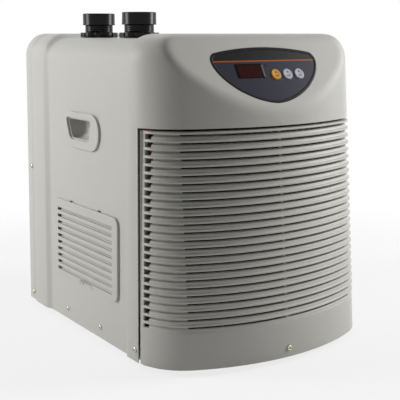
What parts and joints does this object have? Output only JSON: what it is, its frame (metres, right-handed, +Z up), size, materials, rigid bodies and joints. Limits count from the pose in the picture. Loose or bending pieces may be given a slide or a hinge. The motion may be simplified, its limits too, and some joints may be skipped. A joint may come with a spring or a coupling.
{
  "type": "water chiller",
  "caption": "Free-standing water chiller with a bowed finned grille, sloping control panel, side handles and vents, and two threaded water ports on top.",
  "frame": {"origin": "centre of the bounding box's base, on the surface that the feet stand on", "axes": "-Y is the front with the grille and control panel, +Z up along the water ports, +X to the right seen from the front"},
  "size_m": [0.3892, 0.4918, 0.494],
  "materials": {
    "casing": "satin moulded plastic, warm light grey",
    "black_moulding": "glossy black moulded plastic",
    "rubber": "matt black rubber",
    "panel": "dark navy printed overlay, semi-gloss",
    "window": "dark red tinted display window",
    "lamp": "small dark lens",
    "amber_key": "amber button cap",
    "grey_key": "light grey button cap",
    "board": "green circuit board",
    "mesh": "dark filter mesh",
    "foam": "dark filter foam",
    "nickel": "nickel plated screws",
    "steel": "galvanised sheet steel",
    "pot": "black enamel on steel",
    "copper": "drawn copper tube",
    "alloy": "thin aluminium plates",
    "titanium": "drawn titanium tube",
    "dark_moulding": "matt black moulded plastic",
    "tank": "dark grey moulded barrel",
    "white_box": "off-white moulded plastic"
  },
  "bodies": {
    "cabinet": {"base_pan": "steel", "feet": "rubber", "front_bezel": "casing", "main_casing": "casing", "rear_panel": "casing", "front_grille": "casing", "front_filter": "mesh", "control_panel": "panel", "display_window": "window", "status_led": "lamp", "display_board": "board", "handle_left": "casing", "handle_right": "casing", "vent_filter_left": "foam", "vent_filter_right": "foam", "side_screws": "nickel", "rear_screws": "nickel", "grille_screw": "nickel", "compressor": "pot", "compressor_grommets": "rubber", "compressor_bolts": "steel", "terminal_cover": "dark_moulding", "condenser_plates": "alloy", "condenser_tube": "copper", "condenser_frame": "steel", "fan_shroud": "dark_moulding", "fan_motor": "pot", "motor_bracket": "steel", "exchanger_barrel": "tank", "barrel_cap": "dark_moulding", "titanium_coil": "titanium", "barrel_cradle": "steel", "inlet_port": "black_moulding", "outlet_port": "black_moulding", "port_seals": "rubber", "port_lock_nuts": "black_moulding", "port_couplers": "rubber", "suction_line": "rubber", "discharge_line": "copper", "liquid_line": "copper", "capillary_tube": "copper", "filter_drier": "copper", "electrical_box": "white_box", "electrical_cover": "white_box", "relay_board": "board", "run_capacitor": "white_box", "temperature_probe": "nickel", "power_inlet": "black_moulding"},
    "fan": {"fan_rotor": "dark_moulding", "motor_shaft": "steel"},
    "set_key": {"set_button": "amber_key"},
    "up_key": {"up_button": "grey_key"},
    "down_key": {"down_button": "grey_key"},
    "left_hatch": {"vent_cover_left": "casing"},
    "right_hatch": {"vent_cover_right": "casing"},
    "inlet_collar": {"inlet_nut": "black_moulding"},
    "outlet_collar": {"outlet_nut": "black_moulding"}
  },
  "joints": [
    {"name": "fan_spin", "type": "hinge", "parent": "cabinet", "child": "fan", "pos_m": [0, -0.0987, 0.182], "axis": [0, 1, 0], "continuous": true},
    {"name": "set_press", "type": "slide", "parent": "cabinet", "child": "set_key", "axis": [0, 0.8572, -0.515], "range_m": [0, 0.001], "stiffness_N_per_m": 300},
    {"name": "up_press", "type": "slide", "parent": "cabinet", "child": "up_key", "axis": [0, 0.8572, -0.515], "range_m": [0, 0.001], "stiffness_N_per_m": 300},
    {"name": "down_press", "type": "slide", "parent": "cabinet", "child": "down_key", "axis": [0, 0.8572, -0.515], "range_m": [0, 0.001], "stiffness_N_per_m": 300},
    {"name": "left_hatch_tilt", "type": "hinge", "parent": "cabinet", "child": "left_hatch", "pos_m": [-0.18496, 0.0258, 0.2029], "axis": [0, 1, 0], "range_deg": [0, 30]},
    {"name": "right_hatch_tilt", "type": "hinge", "parent": "cabinet", "child": "right_hatch", "pos_m": [0.18496, 0.0258, 0.2029], "axis": [0, -1, 0], "range_deg": [0, 30]},
    {"name": "inlet_nut_turn", "type": "hinge", "parent": "cabinet", "child": "inlet_collar", "pos_m": [-0.112, -0.0197, 0.483], "axis": [0, 0, 1], "continuous": true},
    {"name": "outlet_nut_turn", "type": "hinge", "parent": "cabinet", "child": "outlet_collar", "pos_m": [-0.112, 0.1083, 0.483], "axis": [0, 0, 1], "continuous": true}
  ]
}
